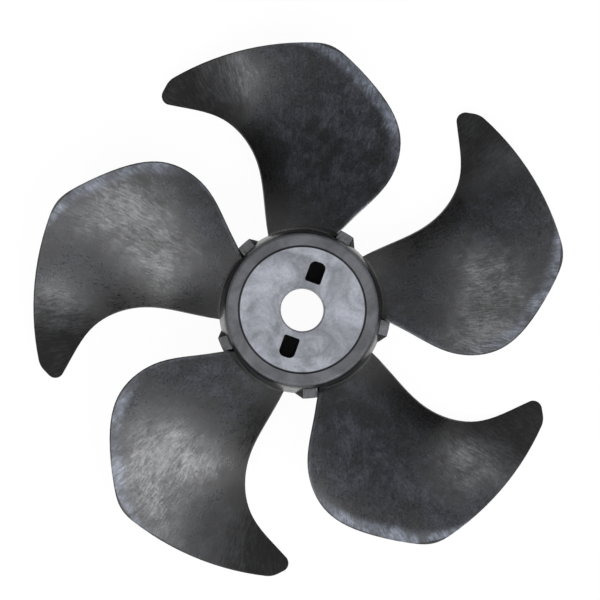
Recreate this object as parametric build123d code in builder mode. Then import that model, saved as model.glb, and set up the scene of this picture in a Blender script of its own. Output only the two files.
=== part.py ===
"""Axial fan impeller: a hollow hub with five swept blades, moulded as one piece.

The frame is the impeller's own: Z is the axis of rotation and +Z is the inlet side. The origin is
on the axis where the rear end of the boss seats on the shaft's shoulder, and the two drive slots
lie on the X axis.
All lengths are in millimetres and all angles in degrees.
"""

import math
import os

from build123d import *

# ---- Blades: outline ---------------------------------------------------------------------------
blade_count = 5
tip_diameter = 254.0
blade_clocking = 18.5  # from the first drive slot to the middle of the first blade's root
# Each edge is a row of (share of the span, angle from the middle of the blade's root).
leading_edge = [(0.12, -28.1), (0.38, -32.6), (0.62, -28.1), (0.82, -16.6), (0.94, -8.8)]
leading_root_angle = -21.5
leading_root_heading = -51.0
leading_tip_angle = -1.5  # where the leading edge runs into the rim
trailing_edge = [(0.15, 20.9), (0.42, 18.0), (0.68, 23.4), (0.84, 31.5)]
trailing_root_angle = 25.9
horn_point = (0.937, 35.8)  # the swept-back corner, before it is rounded
horn_point_radius = 4.0
horn_shoulder_angle = 31.2  # where the rim turns in towards the point
horn_shoulder_radius = 10.0

# ---- Blades: surface, each as its root, middle and tip value -----------------------------------
pitch_angle = (42.5, 26.8, 13.5)  # between the chord and the plane of rotation
chord_middle_angle = (0.0, -6.2, 13.5)  # sweep of the middle of the chord
chord_middle_depth = (24.0, 30.3, 40.7)  # behind the hub's front face
camber_ratio = 0.02  # bulge towards the inlet, as a share of the chord
blade_thickness = (3.0, 2.2, 1.9)
blade_edge_bevel = 0.65
surface_rows = 9
share_margin = 0.08
angle_margin = 5.0

# ---- Hub ---------------------------------------------------------------------------------------
hub_length = 40.0
hub_face_diameter = 69.8  # front face, inside the shoulder
shoulder_diameter = 74.0  # barrel at the foot of the shoulder
shoulder_length = 9.0
hub_rear_diameter = 78.0
hub_wall = 3.0
web_thickness = 4.5
corner_wall = 1.95  # between the shoulder and the corner where the inner wall meets the web
face_edge_bevel = 0.7
rear_edge_bevel = 0.4
groove_diameter = 58.8
groove_width = 0.7
groove_depth = 0.8

# ---- Shaft seat and drive slots ----------------------------------------------------------------
bore_diameter = 20.0
bore_length = 16.0
bore_chamfer = 0.7
boss_wall = 3.2
slot_centre_radius = 18.3
slot_length = 10.0
slot_width = 7.6
slot_depth = 12.0
slot_inner_corner = 1.0
slot_outer_corner = 2.8
slot_wall = 2.0

# ---- Stiffening ribs inside the hub ------------------------------------------------------------
rib_count = 6
rib_thickness = 2.0
rib_height = 9.0  # below the web
rib_clocking = 30.0  # clear of the drive slots

# ---- Shut-off ledge of the mould, under each blade ---------------------------------------------
ledge_projection = 4.3  # past the foot of the shoulder
ledge_lead = 12.5  # angle by which its top stands out ahead of the blade root
ledge_end_draft = 6.3

# ---- Worked out from the sizes above -----------------------------------------------------------
tip_radius = tip_diameter / 2
bore_radius = bore_diameter / 2
hub_rear_radius = hub_rear_diameter / 2
shoulder_radius = shoulder_diameter / 2
face_radius = hub_face_diameter / 2
groove_radius = groove_diameter / 2
span = tip_radius - hub_rear_radius
boss_radius = bore_radius + boss_wall
inner_radius = shoulder_radius - hub_wall
face_height = bore_length
web_height = face_height - web_thickness
shoulder_height = face_height - shoulder_length
shoulder_slope = (shoulder_radius - face_radius) / shoulder_length
corner_radius = face_radius + web_thickness * shoulder_slope - corner_wall
rear_height = face_height - hub_length
ledge_start = leading_root_angle - ledge_lead
ledge_end_run = (shoulder_height - rear_height) * math.tan(math.radians(ledge_end_draft))
ledge_first_angle = ledge_start - math.degrees(ledge_end_run / shoulder_radius)
root_radius = (shoulder_radius + hub_rear_radius - hub_wall) / 2  # inside the wall all the way down
reach = 2 * hub_length  # of the cutting prisms, past every face of the impeller


def along_span(values, share):
    """Quadratic through the root, middle and tip values."""
    root, middle, tip = values
    bend = 2 * (root + tip - 2 * middle)
    return root + (tip - root - bend) * share + bend * share**2


def evenly(first, last):
    """The places of the surface's rows of points from first to last."""
    return [first + (last - first) * i / (surface_rows - 1) for i in range(surface_rows)]


def radius_at(share):
    return hub_rear_radius + share * span


def polar(radius, angle, z=0.0):
    return Vector(radius * math.cos(math.radians(angle)), radius * math.sin(math.radians(angle)), z)


def blade_point(share, angle, side):
    """A point of the blade's inlet face (side 1), middle surface (0) or outlet face (-1)."""
    radius = radius_at(share)
    pitch = math.radians(along_span(pitch_angle, share))
    from_middle = math.radians(angle - along_span(chord_middle_angle, share))
    half_chord = math.radians(trailing_root_angle - leading_root_angle) / 2
    drop = radius * from_middle * math.tan(pitch)
    bulge = 2 * half_chord * radius * camber_ratio * (1 - (from_middle / half_chord) ** 2)
    height = face_height - along_span(chord_middle_depth, share)
    half_thickness = along_span(blade_thickness, share) / 2 / math.cos(pitch)
    return polar(radius, angle, height + bulge - drop + side * half_thickness)


def blade_face(side):
    """One of the blade's surfaces, wider than its outline and wide enough to shut off the ledge."""
    shares = evenly(-share_margin, 1 + share_margin)
    angles = evenly(ledge_first_angle - angle_margin, horn_point[1] + angle_margin)
    return Face.make_surface_from_array_of_points(
        [[blade_point(share, angle, side) for angle in angles] for share in shares]
    )


def edge_line(points, root_angle):
    """The points of a blade edge, from inside the hub wall outwards."""
    return [polar(root_radius, root_angle)] + [polar(radius_at(s), a) for s, a in points]


# ---- One blade, the middle of its root on the X axis -------------------------------------------
with BuildPart() as blade:
    extrude(blade_face(1), amount=reach, dir=(0, 0, -1))
    extrude(blade_face(-1), amount=reach, dir=(0, 0, 1), mode=Mode.INTERSECT)
    with BuildSketch(Plane.XY.offset(face_height - reach)) as outline:
        with BuildLine():
            leading_tip = polar(tip_radius, leading_tip_angle)
            horn_shoulder = polar(tip_radius, horn_shoulder_angle)
            horn_tip = polar(radius_at(horn_point[0]), horn_point[1])
            Spline(
                *edge_line(leading_edge, leading_root_angle),
                leading_tip,
                tangents=(polar(1, leading_root_heading), polar(1, leading_tip_angle + 90)),
            )
            ThreePointArc(
                leading_tip,
                polar(tip_radius, (leading_tip_angle + horn_shoulder_angle) / 2),
                horn_shoulder,
            )
            Line(horn_shoulder, horn_tip)
            Spline(*edge_line(trailing_edge, trailing_root_angle), horn_tip)
            ThreePointArc(
                polar(root_radius, trailing_root_angle),
                polar(root_radius, 0),
                polar(root_radius, leading_root_angle),
            )
        make_face()
        fillet(outline.vertices().sort_by_distance(horn_tip)[0], radius=horn_point_radius)
        fillet(outline.vertices().sort_by_distance(horn_shoulder)[0], radius=horn_shoulder_radius)
    extrude(amount=reach, mode=Mode.INTERSECT)
    broad_faces = blade.faces().sort_by(SortBy.AREA)[-2:]
    free_edges = broad_faces.edges().filter_by(lambda edge: edge.center().X > root_radius)
    chamfer(free_edges, length=blade_edge_bevel)

# ---- The ledge under the blade: a wall drafted the other way, shut off along the blade ---------
with BuildPart() as ledge:
    extrude(blade_face(0), amount=reach, dir=(0, 0, -1))
    with BuildSketch(Plane.XZ.rotated((0, 0, ledge_first_angle))):
        with BuildLine():
            Polyline(
                (shoulder_radius - hub_wall / 2, shoulder_height),
                (shoulder_radius + ledge_projection, shoulder_height),
                (hub_rear_radius, rear_height),
                (hub_rear_radius - hub_wall / 2, rear_height),
                close=True,
            )
        make_face()
    revolve(
        axis=Axis.Z,
        revolution_arc=trailing_root_angle - ledge_first_angle,
        mode=Mode.INTERSECT,
    )
    end_normal = polar(math.cos(math.radians(ledge_end_draft)), ledge_start + 90)
    end_normal += Vector(0, 0, -math.sin(math.radians(ledge_end_draft)))
    split(
        bisect_by=Plane(
            origin=polar(shoulder_radius, ledge_start, shoulder_height),
            x_dir=polar(1, ledge_start),
            z_dir=end_normal,
        ),
        keep=Keep.TOP,
    )

# ---- A drive slot, longer along the radius, its outer corners rounder than its inner ones ------
with BuildSketch() as slot_outline:
    Rectangle(slot_length, slot_width)
    fillet(slot_outline.vertices().group_by(Axis.X)[-1], radius=slot_outer_corner)
    fillet(slot_outline.vertices().group_by(Axis.X)[0], radius=slot_inner_corner)

# ---- Hub, with the blades and all that is moulded on it ----------------------------------------
with BuildPart() as impeller:
    with BuildSketch(Plane.XZ) as hub_section:
        with BuildLine():
            Polyline(
                (0, face_height),
                (face_radius, face_height),
                (shoulder_radius, shoulder_height),
                (hub_rear_radius, rear_height),
                (hub_rear_radius - hub_wall, rear_height),
                (inner_radius, shoulder_height),
                (corner_radius, web_height),
                (0, web_height),
                close=True,
            )
        make_face()
        face_corner = hub_section.vertices().group_by(Axis.Y)[-1].sort_by(Axis.X)[-1]
        chamfer(face_corner, length=face_edge_bevel)
        chamfer(hub_section.vertices().group_by(Axis.Y)[0], length=rear_edge_bevel)
    revolve(axis=Axis.Z)
    with BuildSketch(Plane.XY.offset(face_height)):
        Circle(groove_radius + groove_width / 2)
        Circle(groove_radius - groove_width / 2, mode=Mode.SUBTRACT)
    extrude(amount=-groove_depth, mode=Mode.SUBTRACT)

    with BuildSketch():
        Circle(boss_radius)
    extrude(amount=web_height)
    with BuildSketch(Plane.XY.offset(web_height)):
        with PolarLocations(slot_centre_radius, 2):
            RectangleRounded(slot_length + 2 * slot_wall, slot_width + 2 * slot_wall, slot_wall)
    extrude(amount=web_thickness - slot_depth - slot_wall)
    with BuildSketch(Plane.XY.offset(web_height)):
        with PolarLocations((bore_radius + root_radius) / 2, rib_count, start_angle=rib_clocking):
            Rectangle(root_radius - bore_radius, rib_thickness)
    extrude(amount=-rib_height)

    with BuildSketch(Plane.XY.offset(face_height)):
        with PolarLocations(slot_centre_radius, 2):
            add(slot_outline.sketch)
    extrude(amount=-slot_depth, mode=Mode.SUBTRACT)
    with BuildSketch():
        Circle(bore_radius)
    extrude(amount=bore_length, mode=Mode.SUBTRACT)
    bore_mouth = impeller.edges(Select.LAST).filter_by(GeomType.CIRCLE).sort_by(Axis.Z)[-1]
    chamfer(bore_mouth, length=bore_chamfer)

    with PolarLocations(0, blade_count, start_angle=blade_clocking):
        add(blade.part)
        add(ledge.part)

impeller.part.label = "impeller"
os.makedirs("parts", exist_ok=True)
export_step(impeller.part, "parts/impeller.step")
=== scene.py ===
"""Axial fan impeller, dressed in its moulding compound and set on a pale studio floor.

Lengths are in metres and angles in radians. The part's own frame holds throughout: Z is the axis of
rotation, +Z is the inlet side and the two drive slots lie on the X axis.
"""

from functools import partial
from math import cos, pi, radians, sin, tan
from types import SimpleNamespace

import bmesh
import bpy
from bpy.props import FloatProperty, FloatVectorProperty, PointerProperty
from mathutils import Matrix, Vector


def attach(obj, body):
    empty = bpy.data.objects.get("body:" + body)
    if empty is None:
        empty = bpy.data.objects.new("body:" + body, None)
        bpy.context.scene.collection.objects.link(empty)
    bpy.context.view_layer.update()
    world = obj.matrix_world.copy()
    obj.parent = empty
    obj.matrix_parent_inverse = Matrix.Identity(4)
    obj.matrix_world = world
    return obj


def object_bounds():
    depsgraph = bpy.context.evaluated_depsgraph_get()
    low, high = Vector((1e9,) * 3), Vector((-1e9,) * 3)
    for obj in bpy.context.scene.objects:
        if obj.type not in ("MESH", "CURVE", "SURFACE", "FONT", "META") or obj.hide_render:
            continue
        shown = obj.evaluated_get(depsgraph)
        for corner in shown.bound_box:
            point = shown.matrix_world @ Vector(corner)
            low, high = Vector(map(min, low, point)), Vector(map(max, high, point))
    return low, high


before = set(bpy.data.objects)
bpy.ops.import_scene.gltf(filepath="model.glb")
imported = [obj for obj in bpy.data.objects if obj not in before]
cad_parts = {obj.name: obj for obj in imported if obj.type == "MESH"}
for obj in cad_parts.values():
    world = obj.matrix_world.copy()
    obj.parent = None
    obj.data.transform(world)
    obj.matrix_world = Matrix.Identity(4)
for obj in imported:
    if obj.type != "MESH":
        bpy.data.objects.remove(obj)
CAD_LOW, CAD_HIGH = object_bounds()

bl_info = {
    "name": "Axial Fan Impeller",
    "version": (1, 0, 0),
    "blender": (4, 5, 0),
    "location": "3D View > Sidebar > Impeller",
    "description": "Finishes a one-piece moulded fan impeller and lights it in a studio",
    "category": "Object",
}

MM = 0.001
BLADES = 5
BLADE_STEP = 2 * pi / BLADES
FIRST_BLADE = radians(18.5)  # middle of the first blade's root
HUB_FACE = CAD_HIGH.z  # nothing stands higher than the hub's face
GROOVE_RADIUS = 29.4 * MM
SLOT_RADIUS = 18.3 * MM
SHOULDER_RADIUS = 37.0 * MM  # the barrel's front end
LEDGE_RADIUS = 41.3 * MM  # the ledge under a blade, level with the barrel's front end
BARREL_RADIUS = 39.0 * MM  # the barrel's rear end
SHOULDER_HEIGHT = 7.0 * MM
REAR_HEIGHT = -24.0 * MM
TIP_RADIUS = 127.0 * MM
SHARP_ANGLE = radians(40)  # between two faces, past which their edge isn't shaded smooth

# The blade's surface, each as its root, middle and tip value, in degrees and millimetres.
PITCH = (42.5, 26.8, 13.5)
CHORD_MIDDLE_ANGLE = (0.0, -6.2, 13.5)
CHORD_MIDDLE_DEPTH = (24.0, 30.3, 40.7)
THICKNESS = (3.0, 2.2, 1.9)
CAMBER = 0.02  # bulge towards the inlet, as a share of the chord
ROOT_START, ROOT_END = -21.5, 25.9  # degrees from the middle of the root

# The blade's edges, from root to tip, as (radius in millimetres, degrees from the middle of the root).
LEADING_EDGE = (
    (37, -21.5), (49.6, -28.1), (72.4, -32.6), (93.6, -28.1), (111.2, -16.6), (121.7, -8.8), (127, -1.5),
)
TRAILING_EDGE = (
    (37, 25.9), (52.2, 20.9), (76.0, 18.0), (98.8, 23.4), (112.9, 31.5), (121.5, 35.8), (127, 33.0),
)

# The hub's rounded shoulder.
SHOULDER_STEPS = 16
ROUND_STEPS = 180

# Root fillets.
FILLET_START, FILLET_END = ROOT_START + 1.0, ROOT_END - 1.8  # degrees, inside the blade's bevelled edges
FILLET_STEPS = 60
FILLET_ROWS = 8  # the last row is buried in the hub's wall
BURIED_DEPTH = 0.4 * MM
SAME_POINT = 0.002 * MM

# The camera, in its own axes: right, up and back.
LENS = 213.36  # mm
SENSOR = 36  # mm
AXIS_SEEN = (0.01255, 0.02035, 1)  # the axis of rotation
SLOT_LINE_SEEN = (0.34055, 0.94023, 0)  # the line through the drive slots
HUB_SEEN = (1.088, -4.463, -1646.1)  # the centre of the hub's face, in millimetres
FLOOR_REACH = 3.0  # from the floor's middle to its edge


def linear(code):
    """The linear colour of an sRGB hex code such as '#4A4A50'."""
    values = [int(code[i : i + 2], 16) / 255 for i in (1, 3, 5)]
    return tuple(v / 12.92 if v <= 0.04045 else ((v + 0.055) / 1.055) ** 2.4 for v in values)


def add_node(tree, kind, inputs, **settings):
    """Adds one node. Each input is a constant, a socket, or a node whose first output is meant."""
    made = tree.nodes.new(kind)
    for name, value in settings.items():
        setattr(made, name, value)
    for place, value in inputs.items():
        if isinstance(value, bpy.types.Node):
            value = value.outputs[0]
        if isinstance(value, bpy.types.NodeSocket):
            tree.links.new(value, made.inputs[place])
        else:
            made.inputs[place].default_value = value
    return made


def empty_material(name):
    """A new material and its emptied node tree."""
    material = bpy.data.materials.new(name)
    material.use_nodes = True
    material.node_tree.nodes.clear()
    return material, material.node_tree


# ---- Sizes and colours that a user would change ----


class MouldingFinish(bpy.types.PropertyGroup):
    blade_colour: FloatVectorProperty(
        name="Blade colour",
        description="Glass-filled polyamide on the blades",
        subtype="COLOR", size=3, min=0, max=1, default=linear("#242529"),
    )
    # The disc's lighter colour is partly painted light: the disc faces the front softbox
    lit_disc_colour: FloatVectorProperty(
        name="Disc colour",
        description="The same compound on the hub's disc, its colour lightened in part by painted light from the front softbox",
        subtype="COLOR", size=3, min=0, max=1, default=linear("#74777F"),
    )
    # Painted sheen: a lighter bluish band on the flatter outer blade, in place of the softboxes' reflection
    edge_sheen_colour: FloatVectorProperty(
        name="Painted sheen colour",
        description="Painted bluish sheen along the outer half of each leading edge",
        subtype="COLOR", size=3, min=0, max=1, default=linear("#4E525B"),
    )
    roughness: FloatProperty(
        name="Roughness",
        description="Roughness of the moulded skin",
        min=0, max=1, default=0.34, subtype="FACTOR",
    )
    fibre_width: FloatProperty(
        name="Fibre streak width",
        description="Width of one streak of glass fibre in the skin",
        min=0.1 * MM, max=5 * MM, default=0.55 * MM, unit="LENGTH", precision=5,
    )
    fibre_length: FloatProperty(
        name="Fibre streak length",
        description="Length of one streak of glass fibre along the melt's flow",
        min=0.5 * MM, max=30 * MM, default=4.5 * MM, unit="LENGTH", precision=5,
    )


class HubShoulder(bpy.types.PropertyGroup):
    width: FloatProperty(
        name="Shoulder width",
        description="How far the rounded shoulder reaches inwards from the barrel",
        min=0.5 * MM, max=5 * MM, default=2.9 * MM, unit="LENGTH", precision=5,
    )
    height: FloatProperty(
        name="Shoulder height",
        description="How far the rounded shoulder reaches down from the hub's face",
        min=1 * MM, max=12 * MM, default=9.3 * MM, unit="LENGTH", precision=5,
    )


class RootFillet(bpy.types.PropertyGroup):
    size: FloatProperty(
        name="Fillet size",
        description="How far the fillet at a blade's root reaches up the wall and out along the blade",
        min=0.1 * MM, max=3 * MM, default=1.3 * MM, unit="LENGTH", precision=5,
    )
    runout: FloatProperty(
        name="Fillet run-out",
        description="Share of the root's length over which the fillet fades at each end",
        min=0.01, max=0.5, default=0.08, subtype="FACTOR",
    )


class StudioLight(bpy.types.PropertyGroup):
    front: FloatProperty(
        name="Front softbox",
        description="Power of the softbox over the camera, which the hub's disc reflects",
        min=0, default=10.4, unit="POWER",
    )
    low: FloatProperty(
        name="Low softboxes",
        description="Power of the left softbox at the near side. The right one has a fifth more",
        min=0, default=13.2, unit="POWER",
    )
    far: FloatProperty(
        name="Far softbox",
        description="Power of the softbox at the far side",
        min=0, default=8.0, unit="POWER",
    )
    sky: FloatProperty(
        name="Fill",
        description="Strength of the even light from all round",
        min=0, default=0.08,
    )


# ---- Shape of a blade's root ----


def along_span(values, share):
    """Quadratic through the root, middle and tip values."""
    root, middle, tip = values
    bend = 2 * (root + tip - 2 * middle)
    return root + (tip - root - bend) * share + bend * share**2


def blade_height(radius, angle, side):
    """Height of the blade's inlet face (side 1) or outlet face (-1)."""
    share = (radius - BARREL_RADIUS) / (TIP_RADIUS - BARREL_RADIUS)
    slope = radians(along_span(PITCH, share))
    from_middle = radians(angle - along_span(CHORD_MIDDLE_ANGLE, share))
    half_chord = radians(ROOT_END - ROOT_START) / 2
    bulge = 2 * half_chord * radius * CAMBER * (1 - (from_middle / half_chord) ** 2)
    middle = HUB_FACE - along_span(CHORD_MIDDLE_DEPTH, share) * MM
    half_thickness = along_span(THICKNESS, share) * MM / 2 / cos(slope)
    return middle + bulge - radius * from_middle * tan(slope) + side * half_thickness


def wall_radius(height, side):
    """Radius of the barrel above a blade (side 1) or of the ledge under it (-1)."""
    front = SHOULDER_RADIUS if side > 0 else LEDGE_RADIUS
    share = (SHOULDER_HEIGHT - height) / (SHOULDER_HEIGHT - REAR_HEIGHT)
    return front + (BARREL_RADIUS - front) * share


def fillet_point(fillet, along, row, side):
    """A point of the root fillet: along is 0 to 1, and its rows run from the wall to the blade."""
    angle = FILLET_START + (FILLET_END - FILLET_START) * along
    size = fillet.size * min(1, along / fillet.runout, (1 - along) / fillet.runout) ** 0.5
    # The corner: the wall leans, so its radius and the blade's height there are found in turn.
    height = blade_height(SHOULDER_RADIUS, angle, side)
    for _ in range(3):
        radius = wall_radius(height, side)
        height = blade_height(radius, angle, side)
    if row == FILLET_ROWS - 1:
        radius -= min(size, BURIED_DEPTH)
    else:
        t = row / (FILLET_ROWS - 2)
        up = height + side * size
        out = radius + size
        radius = (1 - t) ** 2 * wall_radius(up, side) + 2 * t * (1 - t) * radius + t**2 * out
        height = (1 - t) ** 2 * up + 2 * t * (1 - t) * height + t**2 * blade_height(out, angle, side)
    turn = FIRST_BLADE + radians(angle)
    return radius * cos(turn), radius * sin(turn), height


# ---- Moulding compound: where a point lies, what shows there, and its tone and gloss ----


def moulding_places(add):
    """Where a point of the moulding lies, on the hub and on the nearest blade."""
    at = SimpleNamespace(where=add("ShaderNodeTexCoord", {}).outputs["Object"])
    # The seam of the angle lies in the gap between two blades.
    seam = FIRST_BLADE + 2.5 * BLADE_STEP + radians(1.6)
    place = {"Vector": at.where, "Rotation": (0, 0, pi - seam)}
    turned = add("ShaderNodeMapping", place, vector_type="POINT")
    x, y, at.height = add("ShaderNodeSeparateXYZ", {0: turned}).outputs
    x_square = add("ShaderNodeMath", {0: x, 1: x}, operation="MULTIPLY")
    y_square = add("ShaderNodeMath", {0: y, 1: y}, operation="MULTIPLY")
    square = add("ShaderNodeMath", {0: x_square, 1: y_square}, operation="ADD")
    at.radius = add("ShaderNodeMath", {0: square}, operation="SQRT")
    at.angle = add("ShaderNodeMath", {0: y, 1: x}, operation="ARCTAN2")

    # The same angle counted from the middle of the nearest blade's root.
    from_first = add("ShaderNodeMath", {0: at.angle, 1: pi - seam + FIRST_BLADE}, operation="SUBTRACT")
    at.blade_angle = add(
        "ShaderNodeMath", {0: from_first, 1: BLADE_STEP / 2, 2: -BLADE_STEP / 2}, operation="WRAP"
    )
    at.inside_leading = inside_edge(add, at, LEADING_EDGE, 1)
    at.inside_trailing = inside_edge(add, at, TRAILING_EDGE, -1)

    # How far from the groove, from the middle of the nearest slot, and from the ledges' tops.
    from_groove = add("ShaderNodeMath", {0: at.radius, 1: GROOVE_RADIUS}, operation="SUBTRACT")
    at.from_groove = add("ShaderNodeMath", {0: from_groove}, operation="ABSOLUTE")
    along_slots, across_slots, _ = add("ShaderNodeSeparateXYZ", {0: at.where}).outputs
    either_side = add("ShaderNodeMath", {0: along_slots}, operation="ABSOLUTE")
    from_slot = add("ShaderNodeMath", {0: either_side, 1: SLOT_RADIUS}, operation="SUBTRACT")
    at.along_slot = add("ShaderNodeMath", {0: from_slot}, operation="ABSOLUTE")
    at.across_slot = add("ShaderNodeMath", {0: across_slots}, operation="ABSOLUTE")
    from_ledge = add("ShaderNodeMath", {0: at.height, 1: SHOULDER_HEIGHT}, operation="SUBTRACT")
    at.from_ledge_top = add("ShaderNodeMath", {0: from_ledge}, operation="ABSOLUTE")

    # How far the surface faces up, and how far it faces along the turn, for the painted light on the ledges'
    # tops and the painted shade on their ends.
    facing = add("ShaderNodeTexCoord", {}).outputs["Normal"]
    at.upward = add("ShaderNodeSeparateXYZ", {0: facing}).outputs[2]
    around = add("ShaderNodeVectorMath", {0: (0, 0, 1), 1: at.where}, operation="CROSS_PRODUCT")
    around = add("ShaderNodeVectorMath", {0: around}, operation="NORMALIZE")
    turnward = add("ShaderNodeVectorMath", {0: facing, 1: around}, operation="DOT_PRODUCT").outputs["Value"]
    at.turnward = add("ShaderNodeMath", {0: turnward}, operation="ABSOLUTE")
    return at


def inside_edge(add, at, edge, side):
    """How far a point lies inside one of the blade's edges, along its arc."""
    inner, outer = edge[0][0], edge[-1][0]
    lowest, spread = -45, 90  # the angles that the curve spans, in degrees
    share = add("ShaderNodeMapRange", {0: at.radius, 1: inner * MM, 2: outer * MM})
    curve = add("ShaderNodeFloatCurve", {"Value": share})
    line = curve.mapping.curves[0]
    spots = [((radius - inner) / (outer - inner), (angle - lowest) / spread) for radius, angle in edge]
    line.points[0].location, line.points[1].location = spots[0], spots[-1]
    for spot in spots[1:-1]:
        line.points.new(*spot)
    curve.mapping.update()
    angle = add(
        "ShaderNodeMath", {0: curve, 1: radians(spread), 2: radians(lowest)}, operation="MULTIPLY_ADD"
    )
    past = add("ShaderNodeMath", {0: at.blade_angle, 1: angle}, operation="SUBTRACT")
    arc = add("ShaderNodeMath", {0: past, 1: at.radius}, operation="MULTIPLY")
    return add("ShaderNodeMath", {0: arc, 1: side}, operation="MULTIPLY")


def skin_patterns(add, at, finish):
    """The clouds and streaks that the melt leaves in the skin, each from 0 to 1."""
    # A single fibre is about a hundredth of a millimetre thick. The streaks are bundles of them, drawn
    # coarse enough to show. They follow the radius: the arc is divided by a streak's width at mid-span.
    mid_span = 80 * MM
    seen = {}
    for name, size, detail, roughness, distortion in (
        ("drift", 28 * MM, 2.0, 0.5, 0.0),  # how far the melt's flow strays from the radius
        ("clouds", 17 * MM, 5.0, 0.6, 0.6),
        ("blotches", 16 * MM, 5.0, 0.6, 1.1),
        ("patches", 8 * MM, 6.0, 0.68, 0.4),
        ("grain", 1.1 * MM, 3.0, 0.75, 0.0),
    ):
        look = {"Scale": 1 / size, "Detail": detail, "Roughness": roughness, "Distortion": distortion}
        seen[name] = add("ShaderNodeTexNoise", {"Vector": at.where, **look}, noise_dimensions="3D")
    along = add("ShaderNodeMath", {0: at.radius, 1: finish.fibre_length}, operation="DIVIDE")
    across = add("ShaderNodeMath", {0: at.angle, 1: mid_span / finish.fibre_width}, operation="MULTIPLY")
    lean = add("ShaderNodeMath", {0: seen["drift"], 1: 12.0, 2: -6.0}, operation="MULTIPLY_ADD")
    across = add("ShaderNodeMath", {0: across, 1: lean}, operation="ADD")
    through = add("ShaderNodeMath", {0: at.height, 1: 6 * MM}, operation="DIVIDE")
    flow = add("ShaderNodeCombineXYZ", {0: along, 1: across, 2: through})
    look = {"Scale": 1.0, "Detail": 4.0, "Roughness": 0.62}
    seen["streaks"] = add("ShaderNodeTexNoise", {"Vector": flow, **look}, noise_dimensions="3D")
    return seen


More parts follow.
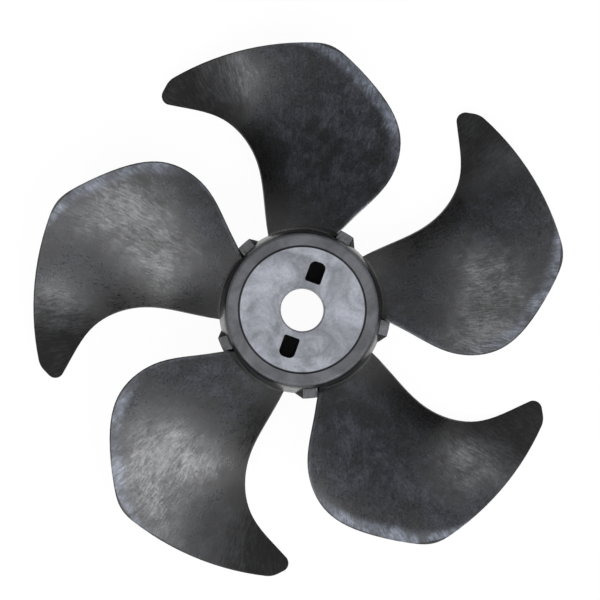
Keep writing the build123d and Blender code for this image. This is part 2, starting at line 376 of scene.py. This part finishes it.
def skin_regions(add, at, seen):
    """Where the moulding looks different or takes painted light and shade, and its patterns with their
    contrast. Each is from 0 to 1.
    """
    # The painted sheen along the leading edge, which stands in for the softboxes' reflection, is wider
    # towards the tip, and its inner border is ragged.
    edge_sheen_width = add(
        "ShaderNodeMapRange", {0: at.radius, 1: 80 * MM, 2: 120 * MM, 3: 7 * MM, 4: 14 * MM},
        interpolation_type="SMOOTHSTEP",
    )
    border = {0: seen["grain"], 1: 1.6 * MM, 2: at.inside_leading}
    ragged = add("ShaderNodeMath", border, operation="MULTIPLY_ADD")
    across_edge_sheen = add("ShaderNodeMath", {0: ragged, 1: edge_sheen_width}, operation="DIVIDE")

    # Each goes smoothly from 0 where the value is the first number to 1 where it is the second.
    region = {}
    for name, value, none, full in (
        # The hub's face, its groove and the drive slots.
        ("inside_shoulder", at.radius, 35.6 * MM, 35.0 * MM),
        ("at_face", at.height, HUB_FACE - 1.6 * MM, HUB_FACE - 1.2 * MM),
        ("inside_groove", at.radius, GROOVE_RADIUS + 0.2 * MM, GROOVE_RADIUS - 0.2 * MM),
        ("groove", at.from_groove, 0.65 * MM, 0.4 * MM),
        ("slot_length", at.along_slot, 5.3 * MM, 4.9 * MM),
        ("slot_width", at.across_slot, 4.1 * MM, 3.7 * MM),
        ("slot_depth", at.height, HUB_FACE - 0.1 * MM, HUB_FACE - 1.5 * MM),
        # The barrel's wall and the ledges under the blades: the wall and the ledges' ends take painted shade,
        # the ledges' tops painted light.
        ("outside_face", at.radius, 35.0 * MM, 35.4 * MM),
        ("on_barrel", at.radius, 40.5 * MM, 38.8 * MM),
        ("turnward", at.turnward, 0.74, 0.86),
        ("near_barrel", at.radius, 46 * MM, 44 * MM),
        ("level", at.upward, 0.9, 0.98),
        ("ledge_height", at.from_ledge_top, 0.3 * MM, 0.1 * MM),
        ("ledge_reach", at.radius, 44 * MM, 43 * MM),
        # The blades.
        ("off_barrel", at.radius, 38.5 * MM, 40.5 * MM),
        ("edge_sheen_border", across_edge_sheen, 1.15, 0.45),
        ("outer_half", at.radius, 78 * MM, 98 * MM),
        ("off_bevel", at.inside_leading, 0.6 * MM, 2.2 * MM),
        ("near_trailing", at.inside_trailing, 20 * MM, 3 * MM),
        ("swept_back", at.blade_angle, radians(12), radians(27)),
        ("near_tip", at.radius, 84 * MM, 104 * MM),
        ("past_rim", at.inside_leading, 0.2 * MM, 0.7 * MM),
        ("on_rim", at.inside_leading, 2.0 * MM, 1.0 * MM),
        # The patterns, with more contrast.
        ("clouds", seen["clouds"], 0.36, 0.64),
        ("blotches", seen["blotches"], 0.28, 0.72),
        ("patches", seen["patches"], 0.42, 0.6),
        ("streaks", seen["streaks"], 0.32, 0.68),
        ("sharp_streaks", seen["streaks"], 0.3, 0.7),
        ("grain", seen["grain"], 0.25, 0.75),
        ("sharp_grain", seen["grain"], 0.3, 0.7),
    ):
        region[name] = add(
            "ShaderNodeMapRange", {0: value, 1: none, 2: full}, interpolation_type="SMOOTHSTEP"
        )

    # Each of these is where all of its parts are.
    for name, parts in (
        ("disc", ("inside_shoulder", "at_face")),
        ("plate", ("disc", "inside_groove")),
        ("open_groove", ("groove", "disc")),
        ("slot", ("slot_length", "slot_width", "slot_depth")),
        ("ledge_end_shade", ("turnward", "near_barrel")),
        ("lit_ledge_top", ("level", "ledge_height", "ledge_reach")),
        # the painted sheen along the outer leading edge
        ("edge_sheen", ("edge_sheen_border", "outer_half", "off_bevel")),
        # painted shade towards the trailing edge
        ("trailing_shade", ("near_trailing", "off_barrel")),
        ("horn", ("swept_back", "near_tip")),
        # the painted highlight just inside the leading edge
        ("rim_highlight", ("past_rim", "on_rim", "off_barrel")),
        # painted shade on the barrel's wall
        ("wall", ("outside_face", "on_barrel")),
    ):
        region[name] = region[parts[0]]
        for part in parts[1:]:
            region[name] = add("ShaderNodeMath", {0: region[name], 1: region[part]}, operation="MULTIPLY")
    off_ledge = add("ShaderNodeMath", {0: 1.0, 1: region["lit_ledge_top"]}, operation="SUBTRACT")
    region["wall"] = add("ShaderNodeMath", {0: region["wall"], 1: off_ledge}, operation="MULTIPLY")
    for name, one, other in (
        ("trailing_shade_and_dark_horn", "trailing_shade", "horn"),
        ("recess", "slot", "open_groove"),
    ):
        region[name] = add("ShaderNodeMath", {0: region[one], 1: region[other]}, operation="MAXIMUM")
    return region


def toned(add, region, effects):
    """The product of all effects. Each is a region, how much it changes the tone, and the tone outside it."""
    tone = 1.0
    for name, change, outside in effects:
        effect = add("ShaderNodeMath", {0: region[name], 1: change, 2: outside}, operation="MULTIPLY_ADD")
        tone = add("ShaderNodeMath", {0: tone, 1: effect}, operation="MULTIPLY")
    return tone


def summed(add, region, start, effects):
    """The sum of start and all effects. Each is a region and how much it adds there."""
    for name, change in effects:
        start = add("ShaderNodeMath", {0: region[name], 1: change, 2: start}, operation="MULTIPLY_ADD")
    return start


def glass_filled_polyamide(finish):
    """Dark glass-filled polyamide, injection moulded. The melt drags the glass fibres outwards from the
    hub, which gives the eye fine radial streaks in a satin, slightly cloudy skin."""
    material, tree = empty_material("glass_filled_polyamide")
    add = partial(add_node, tree)
    at = moulding_places(add)
    seen = skin_patterns(add, at, finish)
    region = skin_regions(add, at, seen)

    # Painted shade darkens the blades towards the trailing edge, the barrel's wall and the blades' roots
    # beside it, the ledges' end faces, the drive slots and the groove. Painted light lightens the ledges'
    # tops and a thin line inside each leading edge. The blades are also darker towards the horn, and the disc
    # outside its groove.
    blade_tone = toned(add, region, (
        ("clouds", 0.8, 0.6),
        ("streaks", 0.9, 0.55),
        ("grain", 0.5, 0.75),
        # painted shade towards the trailing edge, where the blade turns from the softboxes, and darker
        # towards the horn
        ("trailing_shade_and_dark_horn", -0.88, 1.0),
        ("patches", 0.66, 0.68),
        # painted highlight in a thin line just inside the leading edge, where the rounded edge catches the
        # light
        ("rim_highlight", 1.1, 1.0),
        # painted shade on the barrel's wall and on the blades' roots beside it
        ("wall", -0.85, 1.0),
        # painted shade on the ledges' end faces, which turn away from the light
        ("ledge_end_shade", -0.7, 1.0),
        # painted light on the ledges' tops, which face the softboxes
        ("lit_ledge_top", 0.6, 1.0),
        # painted shade in the drive slots
        ("slot", -0.95, 1.0),
    ))
    disc_tone = toned(add, region, (
        ("blotches", 0.8, 0.58),
        ("sharp_grain", 0.3, 0.85),
        ("plate", 0.7, 0.28),
        # painted shade in the groove
        ("groove", -0.8, 1.0),
        # painted shade in the drive slots
        ("slot", -0.95, 1.0),
    ))
    tone = add("ShaderNodeMix", {0: region["disc"], 2: blade_tone, 3: disc_tone}, data_type="FLOAT")
    # The lighter bluish band along the outer leading edge is painted sheen, in place of the softboxes'
    # reflection.
    blade_colours = {6: (*finish.blade_colour, 1), 7: (*finish.edge_sheen_colour, 1)}
    skin = add("ShaderNodeMix", {0: region["edge_sheen"], **blade_colours}, data_type="RGBA").outputs[2]
    # The disc's lighter colour is partly painted light from the front softbox.
    disc_colours = {6: skin, 7: (*finish.lit_disc_colour, 1)}
    skin = add("ShaderNodeMix", {0: region["disc"], **disc_colours}, data_type="RGBA").outputs[2]
    colour = add("ShaderNodeVectorMath", {0: skin, "Scale": tone}, operation="SCALE")

    # Roughness follows the fibres, so that a highlight breaks into streaks. Recesses hold no highlight.
    blade_rough = summed(add, region, finish.roughness + 0.15, (
        ("sharp_streaks", -0.19), ("clouds", -0.1), ("horn", 0.62),
    ))
    disc_rough = summed(add, region, 0.66, (("blotches", -0.16), ("plate", -0.16)))
    rough = add("ShaderNodeMix", {0: region["disc"], 2: blade_rough, 3: disc_rough}, data_type="FLOAT")
    in_recess = add("ShaderNodeMath", {0: region["recess"], 1: 0.95}, operation="MULTIPLY")
    rough = add("ShaderNodeMath", {0: rough, 1: in_recess}, operation="MAXIMUM")
    rough = add("ShaderNodeMath", {0: rough, 1: 0.05}, operation="SUBTRACT")
    rough = summed(add, region, rough, (
        ("edge_sheen", 0.1), ("patches", -0.04), ("sharp_grain", 0.14), ("ledge_end_shade", 0.3),
    ))

    # The skin's relief is about two hundredths of a millimetre.
    fine = add("ShaderNodeMath", {0: seen["grain"], 1: 0.5}, operation="MULTIPLY")
    relief = add("ShaderNodeMath", {0: seen["streaks"], 1: 0.5, 2: fine}, operation="MULTIPLY_ADD")
    bump = add("ShaderNodeBump", {"Strength": 0.55, "Distance": 0.07 * MM, "Height": relief})

    # Polyamide's index of refraction is 1.53.
    look = {"Base Color": colour, "Roughness": rough, "IOR": 1.53, "Metallic": 0.0, "Normal": bump}
    add("ShaderNodeOutputMaterial", {"Surface": add("ShaderNodeBsdfPrincipled", look)})
    return material


def white_studio_paper():
    """Matt white paper. It is plain white to the eye and in reflections, and still takes the shadow."""
    material, tree = empty_material("white_studio_paper")
    add = partial(add_node, tree)
    paper = add("ShaderNodeBsdfDiffuse", {"Color": (*linear("#F2F2F2"), 1)})
    white = add("ShaderNodeEmission", {"Color": (1, 1, 1, 1), "Strength": 1.0})
    ray = add("ShaderNodeLightPath", {}).outputs
    seen = add("ShaderNodeMath", {0: ray["Is Camera Ray"], 1: ray["Is Glossy Ray"]}, operation="MAXIMUM")
    seen = add("ShaderNodeMath", {0: seen, 1: ray["Is Transmission Ray"]}, operation="MAXIMUM")
    share = add("ShaderNodeMath", {0: seen, 1: 0.96}, operation="MULTIPLY")  # the rest shows the shadow
    mixed = add("ShaderNodeMixShader", {0: share, 1: paper, 2: white})
    add("ShaderNodeOutputMaterial", {"Surface": mixed})
    return material


# ---- Operators ----


def add_piece(context, shape, name):
    """Makes the shape a piece of the moulding, smooth but for its sharp edges."""
    for face in shape.faces:
        face.smooth = True
    for edge in shape.edges:
        edge.smooth = edge.calc_face_angle(0) < SHARP_ANGLE
    mesh = bpy.data.meshes.new(name)
    shape.to_mesh(mesh)
    shape.free()
    mesh.materials.append(bpy.data.materials["glass_filled_polyamide"])
    piece = bpy.data.objects.new(name, mesh)
    context.scene.collection.objects.link(piece)
    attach(piece, "root")


class IMPELLER_OT_moulding(bpy.types.Operator):
    """Finishes the one-piece moulding in its compound"""

    bl_idname = "impeller.moulding"
    bl_label = "Impeller moulding"

    def execute(self, context):
        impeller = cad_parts["impeller"]
        compound = glass_filled_polyamide(context.scene.moulding_finish)
        for slot in impeller.material_slots:
            slot.material = compound
        return {"FINISHED"}


class IMPELLER_OT_shoulder(bpy.types.Operator):
    """Rounds the hub's shoulder, a quarter of an ellipse from the edge of the face to the barrel"""

    bl_idname = "impeller.shoulder"
    bl_label = "Rounded shoulder"

    def execute(self, context):
        shoulder = context.scene.hub_shoulder
        shape = bmesh.new()
        # A quarter of a circle, stretched to an ellipse, moved to the shoulder and turned about the axis.
        top = shape.verts.new((0, 0, 1))
        bmesh.ops.spin(
            shape, geom=[top], cent=(0, 0, 0), axis=(0, 1, 0), angle=pi / 2, steps=SHOULDER_STEPS,
        )
        bmesh.ops.scale(shape, vec=(shoulder.width, 1, shoulder.height), verts=shape.verts)
        corner = (SHOULDER_RADIUS - shoulder.width, 0, HUB_FACE - shoulder.height)
        bmesh.ops.translate(shape, vec=corner, verts=shape.verts)
        bmesh.ops.spin(
            shape, geom=shape.verts[:] + shape.edges[:], cent=(0, 0, 0), axis=(0, 0, 1), angle=2 * pi,
            steps=ROUND_STEPS, use_merge=True,
        )
        bmesh.ops.recalc_face_normals(shape, faces=shape.faces)
        if min(shape.faces, key=lambda face: face.calc_center_median().z).normal.z < 0:
            bmesh.ops.reverse_faces(shape, faces=shape.faces)
        add_piece(context, shape, "hub_shoulder")
        return {"FINISHED"}


class IMPELLER_OT_root_fillets(bpy.types.Operator):
    """Rounds the corner between each blade and the hub, on both of the blade's faces"""

    bl_idname = "impeller.root_fillets"
    bl_label = "Blade root fillets"

    def execute(self, context):
        fillet = context.scene.root_fillet
        shape = bmesh.new()
        # A closed strip for each face of the first blade, copied to the other blades.
        for side in (1, -1):
            made = bmesh.ops.create_grid(shape, x_segments=FILLET_STEPS, y_segments=FILLET_ROWS, size=0.5)
            # The grid's far border takes the first row's place, so that the strip closes.
            for vertex in made["verts"]:
                along = vertex.co.x + 0.5
                row = round((vertex.co.y + 0.5) * FILLET_ROWS) % FILLET_ROWS
                vertex.co = fillet_point(fillet, along, row, side)
        bmesh.ops.remove_doubles(shape, verts=shape.verts, dist=SAME_POINT)
        bmesh.ops.spin(
            shape, geom=shape.verts[:] + shape.edges[:] + shape.faces[:], cent=(0, 0, 0), axis=(0, 0, 1),
            angle=BLADE_STEP * (BLADES - 1), steps=BLADES - 1, use_duplicate=True,
        )
        bmesh.ops.recalc_face_normals(shape, faces=shape.faces)
        add_piece(context, shape, "blade_root_fillets")
        return {"FINISHED"}


def camera_axes():
    """The turn from the camera's axes to the part's."""
    up = Vector(AXIS_SEEN).normalized()
    across = Vector(SLOT_LINE_SEEN)
    across = (across - across.dot(up) * up).normalized()
    return Matrix((across, up.cross(across), up))


def stand_camera(scene):
    """The camera stands over the inlet side, a little off the axis of rotation."""
    data = bpy.data.cameras.new("studio_camera")
    data.sensor_width = SENSOR
    data.lens = LENS
    data.clip_end = 20
    camera = bpy.data.objects.new("studio_camera", data)
    place = Vector((0, 0, HUB_FACE)) - camera_axes() @ (Vector(HUB_SEEN) * MM)
    camera.matrix_world = Matrix.Translation(place) @ camera_axes().to_4x4()
    scene.collection.objects.link(camera)
    scene.camera = camera


def hang_softboxes(scene, light):
    """One softbox over the camera, two at the near side and one at the far side."""
    # Each softbox: direction as the camera sees it, distance, width and height in metres, and power.
    for name, direction, distance, width, height, power in (
        ("front_softbox", (0.02, 0.0, 1.0), 2.2, 1.1, 1.1, light.front),
        ("low_left_softbox", (-0.52, -0.56, 0.62), 1.3, 0.6, 1.1, light.low),
        ("low_right_softbox", (0.45, -0.52, 0.72), 1.3, 0.7, 0.8, 1.2 * light.low),
        ("far_softbox", (0.24, 0.72, 0.62), 1.5, 1.1, 0.6, light.far),
    ):
        lamp = bpy.data.lights.new(name, "AREA")
        lamp.shape = "RECTANGLE"
        lamp.size = width
        lamp.size_y = height
        lamp.energy = power
        box = bpy.data.objects.new(name, lamp)
        ray = (camera_axes() @ Vector(direction)).normalized()
        aim = ray.to_track_quat("Z", "Y").to_matrix().to_4x4()
        box.matrix_world = Matrix.Translation(ray * distance) @ aim
        box.visible_camera = False
        scene.collection.objects.link(box)


def fill_with_light(scene, light):
    """The even light from all round, which the camera sees as white."""
    world = bpy.data.worlds.new("studio_world")
    world.use_nodes = True
    world.node_tree.nodes.clear()
    add = partial(add_node, world.node_tree)
    to_camera = add("ShaderNodeLightPath", {}).outputs["Is Camera Ray"]
    strength = add("ShaderNodeMix", {0: to_camera, 2: light.sky, 3: 1.0}, data_type="FLOAT")
    sky = add("ShaderNodeBackground", {"Color": (1, 1, 1, 1), "Strength": strength})
    add("ShaderNodeOutputWorld", {"Surface": sky})
    scene.world = world


def lay_floor(scene):
    """The floor lies level with the impeller's lowest point."""
    mesh = bpy.data.meshes.new("studio_floor")
    shape = bmesh.new()
    level = Matrix.Translation((0, 0, CAD_LOW.z))
    bmesh.ops.create_grid(shape, x_segments=1, y_segments=1, size=FLOOR_REACH, matrix=level)
    shape.to_mesh(mesh)
    shape.free()
    floor = bpy.data.objects.new("studio_floor", mesh)
    floor.data.materials.append(white_studio_paper())
    scene.collection.objects.link(floor)


class IMPELLER_OT_stage(bpy.types.Operator):
    """Sets the impeller on a white floor, under softboxes and a camera above its inlet side"""

    bl_idname = "impeller.stage"
    bl_label = "Studio"

    def execute(self, context):
        scene = context.scene
        stand_camera(scene)
        hang_softboxes(scene, scene.studio_light)
        fill_with_light(scene, scene.studio_light)
        lay_floor(scene)
        scene.view_settings.view_transform = "Standard"
        return {"FINISHED"}


class IMPELLER_PT_panel(bpy.types.Panel):
    """Lists the impeller's finish and its studio"""

    bl_idname = "IMPELLER_PT_panel"
    bl_label = "Axial fan impeller"
    bl_space_type = "VIEW_3D"
    bl_region_type = "UI"
    bl_category = "Impeller"

    def draw(self, context):
        layout = self.layout
        scene = context.scene
        for group in (scene.moulding_finish, scene.hub_shoulder, scene.root_fillet, scene.studio_light):
            box = layout.box()
            for name in group.__annotations__:
                box.prop(group, name)
        for operator in OPERATORS:
            layout.operator(operator.bl_idname)


OPERATORS = (IMPELLER_OT_moulding, IMPELLER_OT_shoulder, IMPELLER_OT_root_fillets, IMPELLER_OT_stage)
CLASSES = (MouldingFinish, HubShoulder, RootFillet, StudioLight, *OPERATORS, IMPELLER_PT_panel)


def register():
    for made in CLASSES:
        bpy.utils.register_class(made)
    bpy.types.Scene.moulding_finish = PointerProperty(type=MouldingFinish)
    bpy.types.Scene.hub_shoulder = PointerProperty(type=HubShoulder)
    bpy.types.Scene.root_fillet = PointerProperty(type=RootFillet)
    bpy.types.Scene.studio_light = PointerProperty(type=StudioLight)


def unregister():
    del bpy.types.Scene.studio_light
    del bpy.types.Scene.root_fillet
    del bpy.types.Scene.hub_shoulder
    del bpy.types.Scene.moulding_finish
    for made in reversed(CLASSES):
        bpy.utils.unregister_class(made)


def main():
    register()
    bpy.ops.impeller.moulding()
    bpy.ops.impeller.shoulder()
    bpy.ops.impeller.root_fillets()
    bpy.ops.impeller.stage()


if __name__ == "__main__":
    main()
